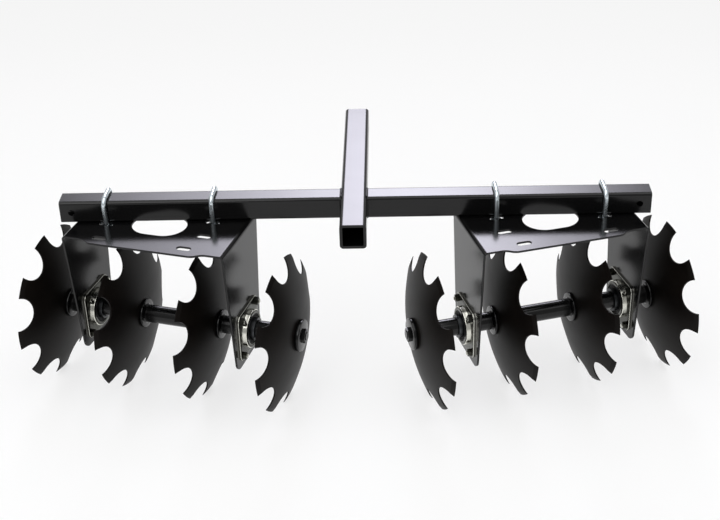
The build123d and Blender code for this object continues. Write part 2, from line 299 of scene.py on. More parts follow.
# -------------------- finishes
@dataclass
class Surface:
    """A material while it is built, with the nodes that every finish is made of."""

    name: str
    material: Material = field(init=False)
    tree: NodeTree = field(init=False)

    def __post_init__(self) -> None:
        """Start the material with an empty node tree."""
        self.material = bpy.data.materials.new(self.name)
        self.material.use_nodes = True
        self.tree = self.material.node_tree
        self.tree.nodes.clear()

    def noise(self, size_mm: float, detail: float,
              stretch: tuple[float, float, float] | None = None) -> NodeSocket:
        """Add a soft random pattern on Object coordinates.

        Args:
            size_mm: The size of the pattern's features, in millimetres.
            detail: How many finer layers it has.
            stretch: How much to scale the coordinates along each axis before it.

        Returns:
            The pattern's value, from 0 to 1.
        """
        place = add_node(self.tree, "ShaderNodeTexCoord").outputs["Object"]
        if stretch:
            place = add_node(self.tree, "ShaderNodeMapping", {"Scale": stretch},
                             {"Vector": place}).outputs[0]
        return add_node(self.tree, "ShaderNodeTexNoise",
                        {"Scale": 1 / (size_mm * MM), "Detail": detail},
                        {"Vector": place}).outputs["Fac"]

    def blend(self, pattern: NodeSocket, low: str, high: str) -> NodeSocket:
        """Run from one hex colour to another as a pattern goes from 0 to 1."""
        return add_node(self.tree, "ShaderNodeMix",
                        {"data_type": "RGBA", 6: linear(low), 7: linear(high)},
                        {"Factor": pattern}).outputs[2]

    def between(self, pattern: NodeSocket, low: float, high: float) -> NodeSocket:
        """Run from one value to another as a pattern goes from 0 to 1."""
        return add_node(self.tree, "ShaderNodeMapRange", {"To Min": low, "To Max": high},
                        {"Value": pattern}).outputs[0]

    def bump(self, pattern: NodeSocket, strength: float, depth_mm: float) -> NodeSocket:
        """Bend the normal as if a pattern were a relief of this depth in millimetres."""
        return add_node(self.tree, "ShaderNodeBump",
                        {"Strength": strength, "Distance": depth_mm * MM},
                        {"Height": pattern}).outputs[0]

    def finished(self, values: dict, links: dict) -> Material:
        """Add the surface shader and the output.

        Args:
            values: Values that are the same all over the surface, by the shader's socket.
            links: Sockets that feed the shader.

        Returns:
            The material.
        """
        shader = add_node(self.tree, "ShaderNodeBsdfPrincipled", values, links)
        add_node(self.tree, "ShaderNodeOutputMaterial", None, {"Surface": shader.outputs[0]})
        return self.material


@dataclass(frozen=True)
class PowderCoat:
    """Semi-gloss black powder coat: a baked film, deep black, that mirrors softly.

    A trace of dust makes the gloss uneven. The film's peel is drawn coarser than the real 1 mm,
    so that it shows.
    """

    name: str = "semi_gloss_powder_coat"
    colour: str = "060606"
    dusty: str = "0c0c0d"
    roughness: float = 0.17
    uneven: float = 0.03
    ior: float = 1.45
    specular: float = 0.4
    dust_mm: float = 120.0
    peel_mm: float = 6.0
    peel_strength: float = 0.03
    peel_depth_mm: float = 0.2

    def make(self) -> Material:
        """Build the material.

        Returns:
            The material.
        """
        surface = Surface(self.name)
        dust = surface.noise(self.dust_mm, 2.0)
        peel = surface.noise(self.peel_mm, 0.0)
        return surface.finished(
            {"IOR": self.ior, "Specular IOR Level": self.specular},
            {"Base Color": surface.blend(dust, self.colour, self.dusty),
             "Roughness": surface.between(dust, self.roughness - self.uneven,
                                          self.roughness + self.uneven),
             "Normal": surface.bump(peel, self.peel_strength, self.peel_depth_mm)})


@dataclass(frozen=True)
class DiscPaint:
    """Semi-matt black paint over rolled spring steel: the mill's streaks give a slow sheen.

    The streaks are about three times longer than they are wide, and the paint's grit dulls the
    mirror image. The worn colour is a little warmer.
    """

    name: str = "satin_disc_paint"
    colour: str = "070505"
    worn: str = "15110e"
    smoothest: float = 0.38
    roughest: float = 0.48
    ior: float = 1.45
    specular: float = 0.11
    streak_mm: float = 40.0
    stretch: tuple[float, float, float] = (1.0, 0.35, 1.0)
    grit_mm: float = 4.0
    grit_strength: float = 0.04
    grit_depth_mm: float = 0.3

    def make(self) -> Material:
        """Build the material.

        Returns:
            The material.
        """
        surface = Surface(self.name)
        streak = surface.noise(self.streak_mm, 3.0, self.stretch)
        grit = surface.noise(self.grit_mm, 1.0)
        return surface.finished(
            {"IOR": self.ior, "Specular IOR Level": self.specular},
            {"Base Color": surface.blend(streak, self.colour, self.worn),
             "Roughness": surface.between(streak, self.smoothest, self.roughest),
             "Normal": surface.bump(grit, self.grit_strength, self.grit_depth_mm)})


@dataclass(frozen=True)
class ZincPlate:
    """Zinc plate: a thin metal coat over pressed steel, smooth enough to mirror.

    The crystals of the plating are drawn as soft patches. As it stands it is bright zinc,
    passivated, silver with a faint yellow cast. Darkened to a dull olive grey, it is a painted dark
    reflection, where the zinc mirrors dark things; a clear passivate gives it a cool, bluish white.
    """

    name: str = "bright_zinc_plate"
    colour: str = "e6e6de"
    tarnish: str = "d2d1c6"
    roughness: float = 0.2
    patch_mm: float = 22.0
    smoother: float = 0.04
    rougher: float = 0.06
    patch_strength: float = 0.05
    patch_depth_mm: float = 0.2

    def make(self) -> Material:
        """Build the material.

        Returns:
            The material.
        """
        surface = Surface(self.name)
        patch = surface.noise(self.patch_mm, 2.0)
        return surface.finished(
            {"Metallic": 1.0},
            {"Base Color": surface.blend(patch, self.colour, self.tarnish),
             "Roughness": surface.between(patch, self.roughness - self.smoother,
                                          self.roughness + self.rougher),
             "Normal": surface.bump(patch, self.patch_strength, self.patch_depth_mm)})


@dataclass(frozen=True)
class NitrileSeal:
    """Moulded nitrile rubber: dull black, with a fine matt grain from the mould."""

    name: str = "nitrile_seal"
    colour: str = "101010"
    bloom: str = "1b1b1b"
    roughness: float = 0.6
    ior: float = 1.52
    grain_mm: float = 1.2
    grain_strength: float = 0.2
    grain_depth_mm: float = 0.3

    def make(self) -> Material:
        """Build the material.

        Returns:
            The material.
        """
        surface = Surface(self.name)
        grain = surface.noise(self.grain_mm, 2.0)
        return surface.finished(
            {"IOR": self.ior, "Roughness": self.roughness},
            {"Base Color": surface.blend(grain, self.colour, self.bloom),
             "Normal": surface.bump(grain, self.grain_strength, self.grain_depth_mm)})


@dataclass(frozen=True)
class OiledSteel:
    """Ground bearing steel under a film of oil: dark grey, with a fine grain from the grinding."""

    name: str = "oiled_bearing_steel"
    colour: str = "56585a"
    oily: str = "45474a"
    smoothest: float = 0.22
    roughest: float = 0.38
    marks_mm: float = 0.8

    def make(self) -> Material:
        """Build the material.

        Returns:
            The material.
        """
        surface = Surface(self.name)
        marks = surface.noise(self.marks_mm, 3.0)
        return surface.finished(
            {"Metallic": 1.0},
            {"Base Color": surface.blend(marks, self.colour, self.oily),
             "Roughness": surface.between(marks, self.smoothest, self.roughest)})


# Bright zinc darkened to olive grey: a painted dark reflection, not the zinc's own colour.
ZINC_WITH_PAINTED_DARK_REFLECTION = ZincPlate("zinc_with_painted_dark_reflection", "4c4d46", "33342e", 0.24, 30.0)
CLEAR_ZINC = ZincPlate("clear_blue_zinc", "e6eef2", "cbd6dc", 0.27, 22.0)


@dataclass
class Finishes:
    """The finishes of the harrow, each made once."""

    powder: Material = field(default_factory=PowderCoat().make)
    paint: Material = field(default_factory=DiscPaint().make)
    zinc: Material = field(default_factory=ZincPlate().make)
    # The zinc with a painted dark reflection, for faces and nuts that mirror dark things.
    painted_dark_zinc: Material = field(default_factory=ZINC_WITH_PAINTED_DARK_REFLECTION.make)
    clear: Material = field(default_factory=CLEAR_ZINC.make)
    seal: Material = field(default_factory=NitrileSeal().make)
    steel: Material = field(default_factory=OiledSteel().make)

    def dress_frame(self) -> None:
        """Give every CAD node the material of its slot in the record."""
        by_slot = {"black_powder_coat": self.powder, "black_disc_paint": self.paint,
                   "zinc_plated_steel": self.zinc, "bearing_seal": self.seal,
                   "bearing_steel": self.steel}
        for part in frame["record"]["subparts"]:
            mesh = frame["nodes"][part["node"]].data
            mesh.materials.clear()
            clamped = part["node"].startswith("u_bolt")
            mesh.materials.append(self.clear if clamped else by_slot[part["material_slot"]])
            log.info("%s wears %s", part["node"], part["material_slot"])


# -------------------- places
@dataclass
class GangPlace:
    """Where a gang lies: its own X runs outwards along the axle, and Z is up."""

    side: Side
    centre: Vector = field(init=False)
    outward: Vector = field(init=False)

    def __post_init__(self) -> None:
        """Read the gang's centre and axle from its joint."""
        joint = next(j for j in frame["joints"] if j["child"] == f"gang_{self.side.value}")
        self.centre = Vector(joint["pos_m"])
        self.outward = Vector(joint["axis"]).normalized()

    def matrix(self, along_mm: float = 0.0) -> Matrix:
        """The place of something on the axle.

        Args:
            along_mm: How far out it lies from the gang's centre, in millimetres.

        Returns:
            The place, turned with the gang.
        """
        up = Vector((0, 0, 1))
        across = up.cross(self.outward)
        turn = Matrix((self.outward, across, up)).transposed().to_4x4()
        return Matrix.Translation(self.centre + self.outward * along_mm * MM) @ turn

    def reaches(self, node: str) -> list[float]:
        """How far along the axle each vertex of a CAD node lies, in mm from the centre."""
        vertices = frame["nodes"][node].data.vertices
        return [(v.co - self.centre).dot(self.outward) / MM for v in vertices]

    def span(self, node: str) -> tuple[float, float]:
        """Where a CAD node starts and ends along the axle, in mm from the centre."""
        reaches = self.reaches(node)
        return min(reaches), max(reaches)


# -------------------- hardware patterns
@dataclass(frozen=True)
class HexNut:
    """A chamfered hex nut about X, its seat on X 0 and its body towards -X."""

    across_flats: float
    height: float
    bore: float
    chamfer: float = 1.3
    chamfer_slope: float = 0.6
    countersink: float = 0.6
    seat_inset: float = 0.2
    corner_clearance: float = 0.3

    def make(self, name: str) -> Object:
        """Cut a hexagonal bar with a turned blank, so that its corners get curved chamfers.

        Args:
            name: The nut's name.

        Returns:
            The nut.
        """
        corner = self.across_flats / sqrt(3)
        start_fresh()
        bpy.ops.mesh.primitive_cylinder_add(
            vertices=6, radius=corner * MM, depth=self.height * MM,
            location=(-self.height / 2 * MM, 0, 0), rotation=(0, pi / 2, 0))
        nut = bpy.context.object
        bpy.ops.object.transform_apply(location=True, rotation=True, scale=True)
        back, sink = -self.height, self.countersink
        mouth = self.bore + sink
        seat = self.across_flats / 2 - self.seat_inset
        beyond = corner + self.corner_clearance
        slope = self.chamfer * self.chamfer_slope
        outline = [(back, mouth), (back + sink, self.bore), (-sink, self.bore), (0.0, mouth),
                   (0.0, seat), (-slope, beyond), (back + slope, beyond), (back, seat)]
        blank = spin_profile("blank", outline, steps=96)
        return finish_mesh(cut(nut, blank, "INTERSECT"), name, smooth_angle=25)


@dataclass(frozen=True)
class Thread:
    """A rolled thread: a fine ridge that winds along a rod, about X from X 0 towards +X."""

    radius: float
    length: float
    pitch: float
    depth: float
    crest: float = 0.45
    foot: float = 0.9
    sunk: float = 0.25
    steps: int = 20

    def make(self, name: str) -> Object:
        """Wind a small triangle along the rod with a screw, and close its two ends.

        Args:
            name: The thread's name.

        Returns:
            The thread, as a closed ridge whose foot is sunk in the rod.
        """
        start_fresh()
        bpy.ops.mesh.primitive_circle_add(vertices=3, radius=1.0, fill_type="NOTHING")
        ridge = bpy.context.object
        corners = ((0.0, -self.sunk), (self.pitch * self.crest, self.depth),
                   (self.pitch * self.foot, -self.sunk))
        for vertex, (x, rise) in zip(ridge.data.vertices, corners):
            vertex.co = Vector((x, 0, self.radius + rise)) * MM
        turns = int(self.length / self.pitch)
        apply_modifier(ridge, "SCREW", {
            "axis": "X", "angle": 2 * pi * turns, "use_merge_vertices": False,
            "screw_offset": self.pitch * turns * MM, "steps": self.steps * turns,
            "render_steps": self.steps * turns})
        bpy.ops.object.mode_set(mode="EDIT")
        bpy.ops.mesh.select_all(action="SELECT")
        bpy.ops.mesh.fill_holes(sides=0)
        bpy.ops.object.mode_set(mode="OBJECT")
        return finish_mesh(ridge, name, smooth_angle=20)


@dataclass(frozen=True)
class Washer:
    """A flat washer with rounded edges about X, from X 0 towards -X."""

    outer: float
    inner: float
    thickness: float
    edge: float = 0.7

    def make(self, name: str) -> Object:
        """Turn the washer's section.

        Args:
            name: The washer's name.

        Returns:
            The washer.
        """
        rim = rounded_rim(-self.thickness, 0.0, self.outer, self.edge)
        outline = [(0.0, self.inner), *reversed(rim), (-self.thickness, self.inner)]
        return spin_profile(name, outline, steps=72)


# -------------------- sub-assemblies
@dataclass
class FlangeBearing:
    """A four-bolt flange bearing: pressed housing, seal, bolts and nuts, seat on X 0."""

    finishes: Finishes
    size: float = 116.056
    thickness: float = 4.5
    corner: float = 15.0
    corner_steps: int = 10
    pressed_edge: float = 0.8
    pressed_angle: float = 60.0
    bolt_spacing: float = 90.056
    hole_clearance: float = 0.4
    ring_radius: float = 44.0
    ring_height: float = 16.0
    ring_flare: float = 0.3
    flare_height: float = 0.8
    seal_radius: float = 38.0
    seal_clearance: float = 1.0
    race_radius: float = 26.0
    lip: float = 3.0
    lip_thickness: float = 1.0
    lip_corner: tuple[float, float] = (0.25, 0.6)
    seal_mouth: float = 1.4
    seal_edge: float = 0.6
    bolt_radius: float = 4.75
    bolt_chamfer: float = 0.8
    head_radius: float = 10.5
    head_height: float = 4.5
    thread_pitch: float = 1.5
    thread_depth: float = 0.25
    thread_hidden: float = 0.2
    nut_flats: float = 15.9
    nut_height: float = 8.5
    nut_turn: float = 17.0
    nut_turn_step: float = 41.0
    plate: float = 4.8
    spare: float = 3.0
    # How squarely a housing face must look along the axle to get the painted dark reflection.
    painted_reflection_slope: float = 0.85

    def bolt_places(self) -> list[tuple[float, float]]:
        """The four bolts' places (y, z) across the flange, in millimetres from the axle."""
        half = self.bolt_spacing / 2
        return [(y, z) for y in (-half, half) for z in (-half, half)]

    def drill(self, plate: Object, radius: float, vertices: int,
              y: float = 0.0, z: float = 0.0) -> None:
        """Drill a hole through the flange, along the axle.

        Args:
            plate: The flange.
            radius: The hole's radius, in millimetres.
            vertices: How many corners its circle has.
            y: The hole's place across the flange, in millimetres.
            z: Its place up the flange.
        """
        start_fresh()
        bpy.ops.mesh.primitive_cylinder_add(
            vertices=vertices, radius=radius * MM, depth=4 * self.thickness * MM,
            rotation=(0, pi / 2, 0), location=(0, y * MM, z * MM))
        cut(plate, bpy.context.object, "DIFFERENCE")

    def make_plate(self) -> Object:
        """The square flange: a block with rounded corners, softly pressed edges and holes.

        Returns:
            The flange.
        """
        start_fresh()
        bpy.ops.mesh.primitive_cube_add(
            size=1, location=(-self.thickness / 2 * MM, 0, 0),
            scale=(self.thickness * MM, self.size * MM, self.size * MM))
        plate = bpy.context.object
        bpy.ops.object.transform_apply(location=True, rotation=True, scale=True)
        bpy.ops.object.mode_set(mode="EDIT")
        bpy.ops.mesh.select_mode(type="EDGE")
        bpy.ops.mesh.select_all(action="DESELECT")
        bpy.ops.object.mode_set(mode="OBJECT")
        for edge in plate.data.edges:
            start, end = (plate.data.vertices[i].co for i in edge.vertices)
            edge.select = abs(start.x - end.x) > self.thickness * MM / 2
        bpy.ops.object.mode_set(mode="EDIT")
        bpy.ops.mesh.bevel(offset=self.corner * MM, segments=self.corner_steps)
        bpy.ops.object.mode_set(mode="OBJECT")
        apply_modifier(plate, "BEVEL", {
            "width": self.pressed_edge * MM, "segments": 3, "limit_method": "ANGLE",
            "angle_limit": radians(self.pressed_angle)})
        for y, z in self.bolt_places():
            self.drill(plate, self.bolt_radius + self.hole_clearance, 32, y, z)
        self.drill(plate, self.seal_radius + self.seal_clearance, 72)
        return plate

    def make_ring(self) -> Object:
        """The raised ring: it flares from the flange, rounds over and turns in to hold the seal.

        Returns:
            The ring.
        """
        outer, inner, top, bend = self.ring_radius, self.seal_radius, -self.ring_height, self.lip
        outline = [(0.0, inner), (0.0, outer), (-self.thickness, outer + self.ring_flare),
                   (-self.thickness - self.flare_height, outer), (top + bend, outer)]
        outline += [(top + bend - bend * rise, outer - bend + bend * out)
                    for rise, out in quarter_arc()]
        drop, inset = self.lip_corner
        under = top + self.lip_thickness
        outline += [(top, inner - bend + inset), (top + drop, inner - bend),
                    (under, inner - bend), (under, inner)]
        return spin_profile("ring", outline, steps=96)

    def make_housing(self, name: str) -> Object:
        """The flange and its ring, in one piece: faces across the axle get a painted dark reflection.

        Args:
            name: The housing's name.

        Returns:
            The housing, bright zinc on its edges and ring, painted dark reflection on its faces.
        """
        housing = joined([self.make_plate(), self.make_ring()], name)
        finish_mesh(housing, name, smooth_angle=32)
        housing.data.materials.clear()
        for finish in (self.finishes.zinc, self.finishes.painted_dark_zinc):
            housing.data.materials.append(finish)
        # Faces that look along the axle get the darkened zinc: painted dark reflection, set by direction.
        for face in housing.data.polygons:
            face.material_index = int(abs(face.normal.x) > self.painted_reflection_slope)
        return housing

    def make_seal(self, name: str) -> Object:
        """The seal: a shallow dished ring with two moulded grooves, in the ring's mouth.

        Args:
            name: The seal's name.

        Returns:
            The seal.
        """
        front = -self.ring_height + self.lip_thickness
        inner, outer = self.race_radius + PLAY, self.seal_radius
        span = outer - inner
        # How far out across the seal each bend of the grooves lies, and how deep.
        bends = ((0.2, 0.2), (0.3, self.seal_mouth), (0.38, self.seal_mouth), (0.46, 0.1),
                 (0.62, 0.1), (0.7, 0.9), (0.8, 0.0))
        outline = [(0.0, outer), (0.0, inner), (front + self.seal_mouth, inner),
                   (front + self.seal_edge, inner + self.seal_edge)]
        outline += [(front + depth, inner + span * share) for share, depth in bends]
        return spin_profile(name, outline + [(front, outer)], steps=96)

    def make_bolt(self, name: str) -> Object:
        """A round-headed bolt: head behind the side plate, thread out through the nut.

        Args:
            name: The bolt's name.

        Returns:
            The bolt and its thread, in one piece.
        """
        radius, plate, head = self.bolt_radius, self.plate, self.head_radius
        tip = -self.thickness - self.nut_height - self.spare
        outline = [(tip, 0.0), (tip, radius - self.bolt_chamfer),
                   (tip + self.bolt_chamfer, radius), (plate, radius), (plate, head)]
        outline += [(plate + self.head_height * rise, head * out) for rise, out in quarter_arc()]
        outline[-1] = (plate + self.head_height, 0.0)
        bolt = spin_profile("bolt", outline, steps=40)
        length = self.spare + self.nut_height * self.thread_hidden
        thread = Thread(radius, length, self.thread_pitch, self.thread_depth).make("thread")
        thread.data.transform(shift(x=tip))
        return joined([bolt, thread], name)

    def build(self) -> None:
        """Model one of each, then copy them to the four bearings."""
        housing = self.make_housing("housing_pattern")
        seal = self.make_seal("seal_pattern")
        bolt = self.make_bolt("bolt_pattern")
        nut = HexNut(self.nut_flats, self.nut_height, self.bolt_radius + PLAY).make("nut_pattern")
        for side in Side:
            gang = GangPlace(side)
            bolts = []
            nuts = []
            for end in ("outer", "inner"):
                node = f"bearing_housing_{side.value}_{end}"
                place = gang.matrix(gang.span(node)[1])
                piece = placed_copy(housing, f"flange_{side.value}_{end}", place)
                settle(piece, "frame", self.finishes.zinc, (node,))
                piece = placed_copy(seal, f"seal_{side.value}_{end}", place)
                settle(piece, "frame", self.finishes.seal,
                       (f"bearing_insert_{side.value}_{end}",))
                for index, (y, z) in enumerate(self.bolt_places()):
                    where = place @ shift(y=y, z=z)
                    bolts.append(placed_copy(bolt, "bolt", where))
                    turn = radians(self.nut_turn + self.nut_turn_step * index)
                    seated = where @ shift(x=-self.thickness) @ Matrix.Rotation(turn, 4, "X")
                    nuts.append(placed_copy(nut, "nut", seated))
            # The flange nuts wear the darkened zinc: a painted dark reflection, not their own colour.
            for parts, kind, finish in ((bolts, "bolts", self.finishes.zinc),
                                        (nuts, "nuts", self.finishes.painted_dark_zinc)):
                settle(joined(parts, f"flange_{kind}_{side.value}"), "frame",
                       finish, (f"bearing_{kind}_{side.value}",))
        remove_all((housing, seal, bolt, nut))


@dataclass
class GangHardware:
    """The turning parts of a gang that are modelled here: spools, end washers and nuts."""

    finishes: Finishes
    tube_radius: float = 20.5
    tube_edge: float = 0.5
    flange_radius: float = 33.0
    bore_radius: float = 12.85
    flange: float = 6.0
    weld: float = 3.0
    weld_throat: tuple[float, float] = (0.45, 0.5)
    edge: float = 1.2
    disc_thickness: float = 3.2
    nut_flats: float = 28.6
    nut_height: float = 8.0
    nut_chamfer: float = 1.6
    thread_radius: float = 9.525
    washer_radius: float = 36.0
    washer: float = 9.5

    def spool_outline(self, low: float, high: float, low_flange: float,
                      high_flange: float) -> Outline:
        """The section of a spool.

        Args:
            low: Where it starts along the axle, in millimetres.
            high: Where it ends.
            low_flange: The thickness of the flange at its low end, or 0.
            high_flange: The thickness of the flange at its high end, or 0.

        Returns:
            The outline, with rounded flange edges and a weld where each flange meets the tube.
        """
        tube, weld, edge = self.tube_radius, self.weld, self.tube_edge
        throat = (weld * self.weld_throat[0], tube + weld * self.weld_throat[1])
        outline = [(low, self.bore_radius)]
        if low_flange:
            face = low + low_flange
            outline += rounded_rim(low, face, self.flange_radius, self.edge)
            outline += [(face, tube + weld), (face + throat[0], throat[1]), (face + weld, tube)]
        else:
            outline += [(low, tube - edge), (low + edge, tube)]
        if high_flange:
            face = high - high_flange
            outline += [(face - weld, tube), (face - throat[0], throat[1]), (face, tube + weld)]
            outline += rounded_rim(face, high, self.flange_radius, self.edge)
        else:
            outline += [(high - edge, tube), (high, tube - edge)]
        return outline + [(high, self.bore_radius)]

    def build(self) -> None:
        """Model the turning hardware of both gangs."""
        nut = HexNut(self.nut_flats, self.nut_height, self.thread_radius + PLAY,
                     self.nut_chamfer).make("axle_nut_pattern")
        washer = Washer(self.washer_radius, self.bore_radius, self.washer,
                        self.edge).make("washer_pattern")
        for side in Side:
            self.build_side(side, nut, washer)
        remove_all((nut, washer))

    def build_side(self, side: Side, nut: Object, washer: Object) -> None:
        """Put the hardware of one gang in its place.

        Args:
            side: The gang's side.
            nut: The axle nut that is copied.
            washer: The end washer that is copied.
        """
        gang = GangPlace(side)
        spools = []
        for run in self.spool_runs(gang):
            spool = spin_profile("spool", self.spool_outline(*run), steps=72)
            spool.data.transform(gang.matrix())
            spools.append(spool)
        stack = gang.span(f"end_washers_{side.value}")[1]
        washers = self.at_both_ends(washer, gang, stack)
        nuts = self.at_both_ends(nut, gang, stack + self.nut_height)
        for parts, name, node in ((spools, "spool_stack", "spools"),
                                  (washers, "end_plates", "end_washers"),
                                  (nuts, "end_nuts", "axle_nuts")):
            settle(joined(parts, f"{name}_{side.value}"), f"gang_{side.value}",
                   self.finishes.powder, (f"{node}_{side.value}",))

    def at_both_ends(self, pattern: Object, gang: GangPlace, reach: float) -> list[Object]:
        """Copy a piece to both ends of an axle, its X 0 at this reach in millimetres."""
        turn_over = Matrix.Rotation(pi, 4, "Z")
        return [placed_copy(pattern, "end", gang.matrix(reach)),
                placed_copy(pattern, "end", gang.matrix(-reach) @ turn_over)]

    def spool_runs(self, gang: GangPlace) -> list[tuple[float, float, float, float]]:
        """Where the spools lie between the discs and the races.

        Args:
            gang: The gang's place.

        Returns:
            For each spool its low end, its high end, and the flange at each.
        """
        side = gang.side.value
        backs = [gang.span(f"disc_{side}_{index}")[0] for index in range(1, 5)]
        fronts = [back + self.disc_thickness for back in backs]
        races = gang.reaches(f"bearing_races_{side}")
        outer_race = [reach for reach in races if reach > 0]
        inner_race = [reach for reach in races if reach < 0]
        return [
            (max(outer_race), backs[0], 0.0, self.flange),
            (fronts[1], min(outer_race), self.flange, 0.0),
            (fronts[2], backs[1], self.flange, self.flange),
            (max(inner_race), backs[2], 0.0, self.flange),
            (fronts[3], min(inner_race), self.flange, 0.0),
        ]


@dataclass
class ToolbarHardware:
    """U-bolt threads, nuts and washers, and the weld where the tongue crosses the toolbar."""

    finishes: Finishes
    rod_radius: float = 5.55
    plate: float = 4.8
    tail: float = 30.0
    thread_pitch: float = 1.95
    thread_depth: float = 0.2
    washer_radius: float = 12.7
    washer_clearance: float = 0.3
    washer_thickness: float = 2.0
    nut_flats: float = 17.5
    nut_height: float = 9.5
    nut_turn: float = 23.0
    leg_offset: float = 31.2
    skew: float = 2.5
    tube_half: float = 25.4
    tongue_half: float = 28.575
    weld_leg: float = 4.5
    weld_sunk: float = 0.62
    weld_shortfall: float = 10.0
    scallop: float = 3.2

    def toolbar_middle(self) -> Vector:
        """The middle of the toolbar, in metres."""
        low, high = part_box("toolbar_right")
        return Vector((0, (low.y + high.y) / 2, (low.z + high.z) / 2))

    def u_bolt_place(self, side: Side, end: str) -> Matrix:
        """Where a U-bolt stands: X across it, Z up, at the toolbar's axis.

        Args:
            side: The bracket's side.
            end: Which end of the bracket it clamps, outer or inner.

        Returns:
            The place, turned by the U-bolt's skew.
        """
        low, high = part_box(f"u_bolt_{side.value}_{end}")
        middle = self.toolbar_middle()
        turn = Matrix.Rotation(radians(self.skew * side.outwards), 4, "Z")
        return Matrix.Translation(((low.x + high.x) / 2, middle.y, middle.z)) @ turn

    def build_u_bolts(self) -> None:
        """Nuts, washers and threads under the brackets."""
        nut = HexNut(self.nut_flats, self.nut_height, self.rod_radius + PLAY).make("u_nut_pattern")
        washer = Washer(self.washer_radius, self.rod_radius + self.washer_clearance,
                        self.washer_thickness).make("u_washer_pattern")
        thread = Thread(self.rod_radius, self.tail + self.plate, self.thread_pitch,
                        self.thread_depth).make("u_thread_pattern")
        down = Matrix.Rotation(-pi / 2, 4, "Y")
        seat = -self.tube_half - self.plate
        reach = self.leg_offset / cos(radians(self.skew))
        for side in Side:
            nuts = []
            threads = []
            for end in ("outer", "inner"):
                for leg in (1, -1):
                    leg_place = self.u_bolt_place(side, end) @ shift(y=leg * reach)
                    under = leg_place @ shift(z=seat) @ down
                    nuts.append(placed_copy(washer, "washer", under))
                    turn = Matrix.Rotation(radians(self.nut_turn * leg), 4, "X")
                    seated = under @ shift(x=-self.washer_thickness) @ turn
                    nuts.append(placed_copy(nut, "nut", seated))
                    foot = leg_place @ shift(z=seat - self.tail) @ down
                    threads.append(placed_copy(thread, "thread", foot))
            settle(joined(nuts, f"clamp_nuts_{side.value}"), "frame",
                   self.finishes.clear, (f"u_bolt_nuts_{side.value}",))
            settle(joined(threads, f"clamp_threads_{side.value}"), "frame",
                   self.finishes.clear)
        remove_all((nut, washer, thread))

    def make_weld(self, name: str, length: float) -> Object:
        """A fillet weld along X: a rod of overlapping scallops, each one pull of the torch.

        Args:
            name: The bead's name.
            length: Its length, in millimetres.

        Returns:
            The bead.
        """
        radius = self.weld_leg * self.weld_sunk
        count = int(length / self.scallop)
        outline = [(0.0, 0.0)]
        for step in range(count):
            start = step * length / count
            # Each scallop starts low, swells and ends low: shares of its length and height.
            for share, rise in ((0.15, 0.86), (0.5, 1.0), (0.85, 0.9)):
                outline.append((start + share * length / count, radius * rise))
        return spin_profile(name, outline + [(length, 0.0)], steps=20)

    def build_welds(self) -> None:
        """Weld beads round both sides of the tongue, on the four faces of the toolbar."""
        middle = Matrix.Translation(self.toolbar_middle())
        length = 2 * self.tube_half - self.weld_shortfall
        bead = self.make_weld("weld_pattern", length)
        for side in Side:
            start = shift(side.outwards * self.tongue_half, -length / 2, self.tube_half)
            lay = start @ Matrix.Rotation(pi / 2, 4, "Z")
            quarters = [Matrix.Rotation(quarter * pi / 2, 4, "X") for quarter in range(4)]
            beads = [placed_copy(bead, "bead", middle @ turn @ lay) for turn in quarters]
            settle(joined(beads, f"tongue_weld_{side.value}"), "frame",
                   self.finishes.powder)
        remove_all((bead,))


@dataclass
class RoundedBrackets:
    """The bracket plates again, with their cut edges rounded as the shears and the coat do."""

    finishes: Finishes
    edge: float = 0.8
    edge_steps: int = 3
    flat_angle: float = 0.2
    sharp_angle: float = 50.0

    def build(self) -> None:
        """Copy each CAD bracket, join its triangles into flats and round every sharp edge.

        The weighted normals keep the flats flat to the eye, up to the rounding.
        """
        for side in Side:
            node = f"bracket_{side.value}"
            name = f"bracket_plate_{side.value}"
            plate = bpy.data.objects.new(name, frame["nodes"][node].data.copy())
            bpy.context.scene.collection.objects.link(plate)
            finish_mesh(plate, name)
            bpy.ops.object.mode_set(mode="EDIT")
            bpy.ops.mesh.select_all(action="SELECT")
            bpy.ops.mesh.dissolve_limited(angle_limit=radians(self.flat_angle))
            bpy.ops.object.mode_set(mode="OBJECT")
            apply_modifier(plate, "BEVEL", {
                "width": self.edge * MM, "segments": self.edge_steps, "limit_method": "ANGLE",
                "angle_limit": radians(self.sharp_angle), "loop_slide": False,
                "use_clamp_overlap": False})
            finish_mesh(plate, name)
            apply_modifier(plate, "WEIGHTED_NORMAL", {"keep_sharp": True, "weight": 100})
            settle(plate, "frame", self.finishes.powder, (node,))


# -------------------- studio
@dataclass(frozen=True)
class SoftBox:
    """A rectangular lamp that looks at a point: places in metres, power in watts."""

    name: str
    place: tuple[float, float, float]
    aim: tuple[float, float, float]
    size: tuple[float, float]
    power: float
    colour: str = "ffffff"
    spread: float = 180.0

    def make(self) -> None:
        """Add the lamp. A grid in front of it narrows the spread."""
        data = bpy.data.lights.new(self.name, "AREA")
        data.shape = "RECTANGLE"
        data.size, data.size_y = self.size
        data.energy = self.power
        data.spread = radians(self.spread)
        data.color = linear(self.colour)[:3]
        lamp = bpy.data.objects.new(self.name, data)
        bpy.context.scene.collection.objects.link(lamp)
        lamp.location = self.place
        view = Vector(self.aim) - Vector(self.place)
        lamp.rotation_euler = view.to_track_quat("-Z", "Y").to_euler()


